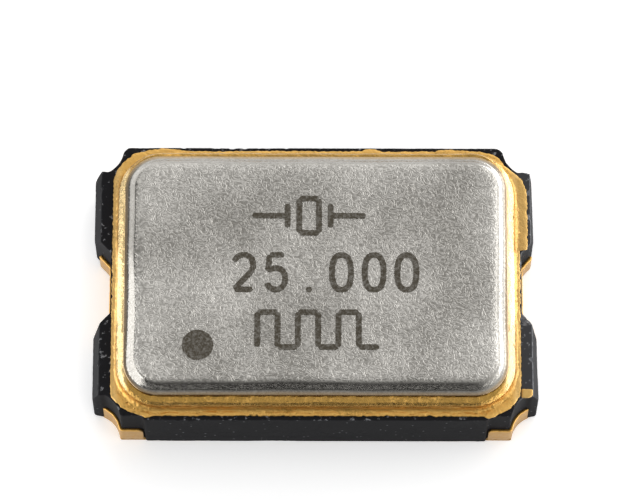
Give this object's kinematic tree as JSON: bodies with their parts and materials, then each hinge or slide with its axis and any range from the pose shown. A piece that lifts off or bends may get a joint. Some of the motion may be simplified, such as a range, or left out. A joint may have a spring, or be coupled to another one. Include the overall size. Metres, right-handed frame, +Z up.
{
  "type": "crystal oscillator",
  "caption": "Surface mount crystal oscillator: a tiered black ceramic tray with castellated corners, a gold plated seal ring and a welded metal lid over a quartz blank and chip.",
  "frame": {"origin": "centre of the underside, on the plane of the solder pads", "axes": "+X along the body's length, -Y the long side that faces the viewer in the picture, +Z up through the lid"},
  "size_m": [0.005, 0.0032, 0.0012],
  "materials": {
    "black_ceramic": "matt fired black alumina, fine grained",
    "gold_plate": "satin gold plate over nickel, slightly pitted",
    "nickel_lid": "tumbled nickel plate with fine short scratches and dark laser marks",
    "terminal_gold": "matt flash gold over fired metal",
    "quartz": "lapped, clear",
    "film_gold": "bright thin gold",
    "silver_adhesive": "matt silver filled resin",
    "silicon": "polished chip"
  },
  "bodies": {
    "root": {"ceramic_base": "black_ceramic", "seal_metallization": "gold_plate", "braze_fillet": "gold_plate", "seal_ring": "gold_plate", "lid": "nickel_lid", "corner_terminal_1": "terminal_gold", "corner_terminal_2": "terminal_gold", "corner_terminal_3": "terminal_gold", "corner_terminal_4": "terminal_gold", "side_terminal_left": "terminal_gold", "side_terminal_right": "terminal_gold", "quartz_blank": "quartz", "top_electrode": "film_gold", "bottom_electrode": "film_gold", "crystal_contact_1": "film_gold", "crystal_contact_2": "film_gold", "adhesive_bead_1": "silver_adhesive", "adhesive_bead_2": "silver_adhesive", "die_attach": "silver_adhesive", "oscillator_chip": "silicon", "chip_contacts": "film_gold", "bond_pad_1": "film_gold", "bond_pad_2": "film_gold", "bond_pad_3": "film_gold", "bond_pad_4": "film_gold", "bond_pad_5": "film_gold", "bond_pad_6": "film_gold", "bond_wire_1": "film_gold", "bond_wire_2": "film_gold", "bond_wire_3": "film_gold", "bond_wire_4": "film_gold", "bond_wire_5": "film_gold", "bond_wire_6": "film_gold"}
  },
  "joints": []
}
